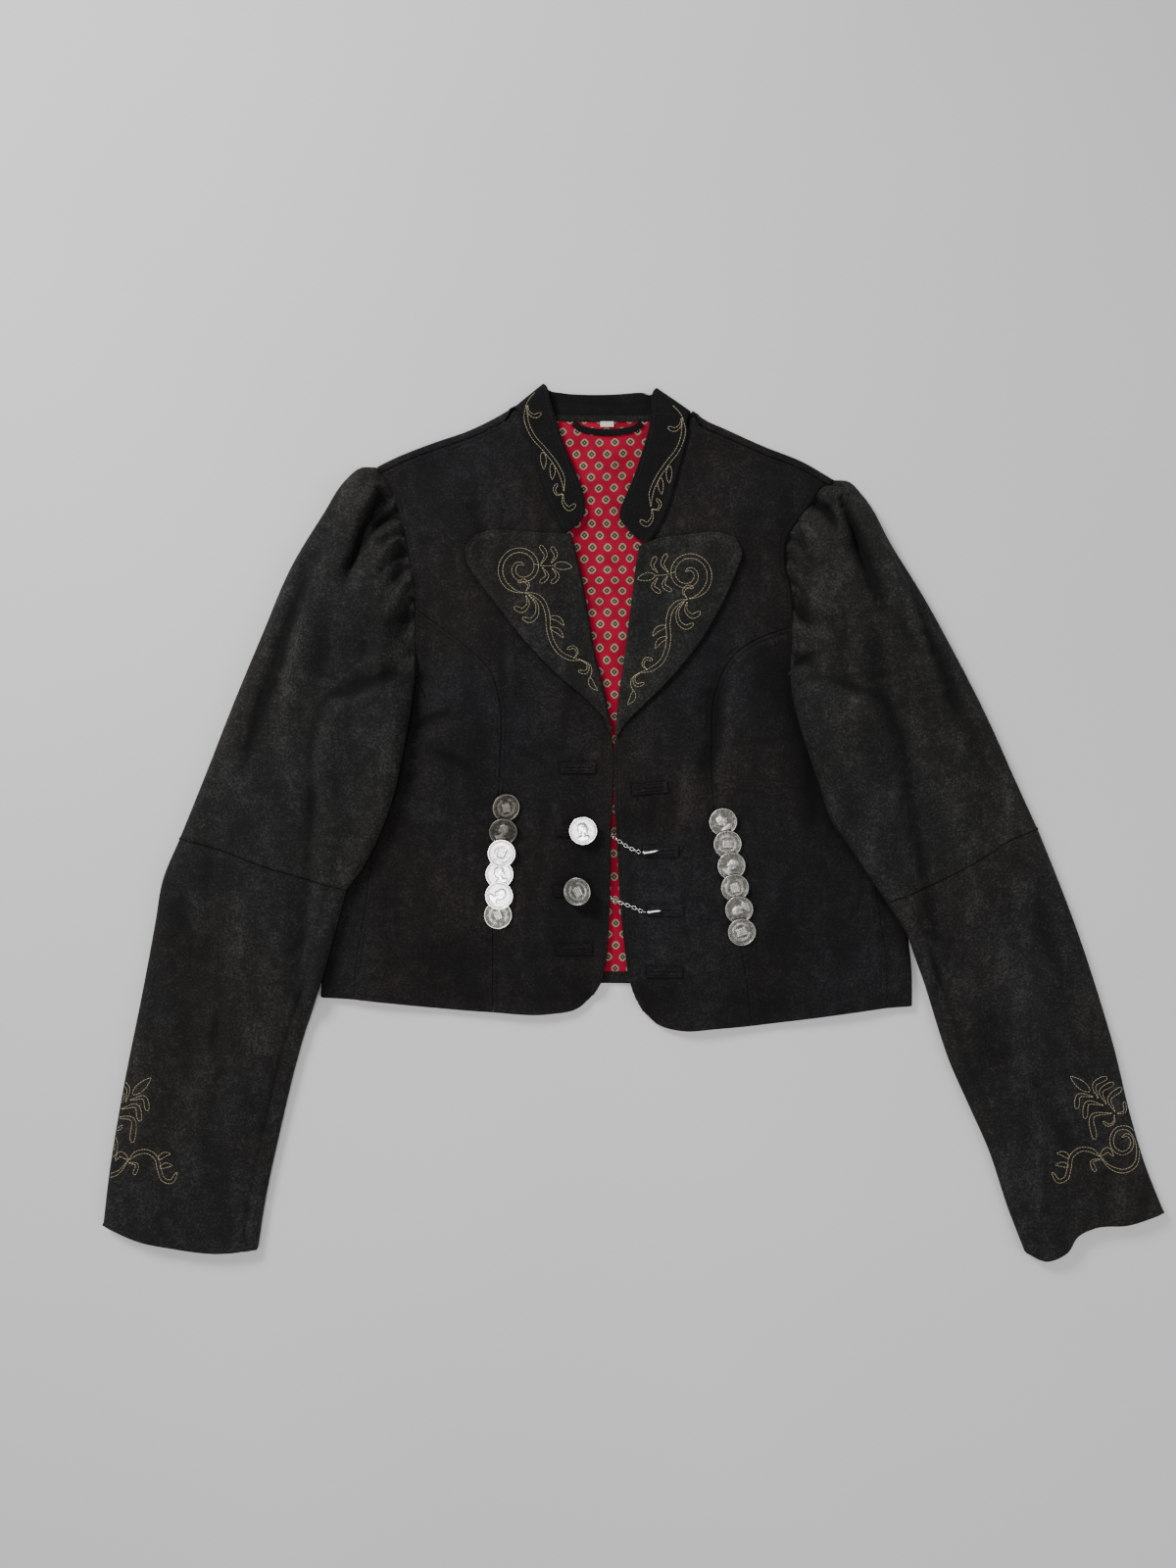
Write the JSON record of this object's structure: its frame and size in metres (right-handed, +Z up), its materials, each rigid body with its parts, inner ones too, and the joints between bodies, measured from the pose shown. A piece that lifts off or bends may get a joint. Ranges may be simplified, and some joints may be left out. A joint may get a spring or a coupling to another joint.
{
  "type": "leather jacket",
  "caption": "Cropped traditional suede jacket laid flat, with gathered sleeve caps, turned-back lapels, a stand collar, coin buttons and chain fastenings.",
  "frame": {"origin": "centre of the laid jacket's bounding box, on the surface that it lies on", "axes": "+X across the jacket towards the sleeve at the picture's right, +Y from hem to collar, +Z up from the surface"},
  "size_m": [0.868, 0.717, 0.0295],
  "materials": {
    "suede_body": "dark brown suede",
    "suede_green": "green-black suede",
    "suede_brown": "brown-black suede",
    "suede_collar": "blue-black suede",
    "foulard_lining": "printed foulard",
    "coin_metal": "aged silver",
    "chain_metal": "bright silver",
    "label_cloth": "woven tape"
  },
  "bodies": {
    "root": {"back_hem_facing": "suede_brown", "back_lining": "foulard_lining", "back_panel": "suede_body", "button_lower": "coin_metal", "button_upper": "coin_metal", "buttonhole_left_1": "suede_body", "buttonhole_left_2": "suede_body", "buttonhole_left_3": "suede_body", "buttonhole_left_4": "suede_body", "buttonhole_right_1": "suede_body", "buttonhole_right_2": "suede_body", "buttonhole_right_3": "suede_body", "buttonhole_right_4": "suede_body", "chain_lower": "chain_metal", "chain_upper": "chain_metal", "coin_left_1": "coin_metal", "coin_left_2": "coin_metal", "coin_left_3": "coin_metal", "coin_left_4": "coin_metal", "coin_left_5": "coin_metal", "coin_left_6": "coin_metal", "coin_right_1": "coin_metal", "coin_right_2": "coin_metal", "coin_right_3": "coin_metal", "coin_right_4": "coin_metal", "coin_right_5": "coin_metal", "coin_right_6": "coin_metal", "collar": "suede_collar", "front_left": "suede_body", "front_right": "suede_body", "front_side_left": "suede_body", "front_side_right": "suede_body", "hanger_loop": "suede_collar", "label": "label_cloth", "lapel_left": "suede_brown", "lapel_right": "suede_green", "side_left": "suede_body", "side_right": "suede_body", "sleeve_lower_top_left": "suede_brown", "sleeve_lower_top_right": "suede_brown", "sleeve_lower_under_left": "suede_brown", "sleeve_lower_under_right": "suede_brown", "sleeve_upper_top_left": "suede_green", "sleeve_upper_top_right": "suede_green", "sleeve_upper_under_left": "suede_green", "sleeve_upper_under_right": "suede_green"}
  },
  "joints": []
}
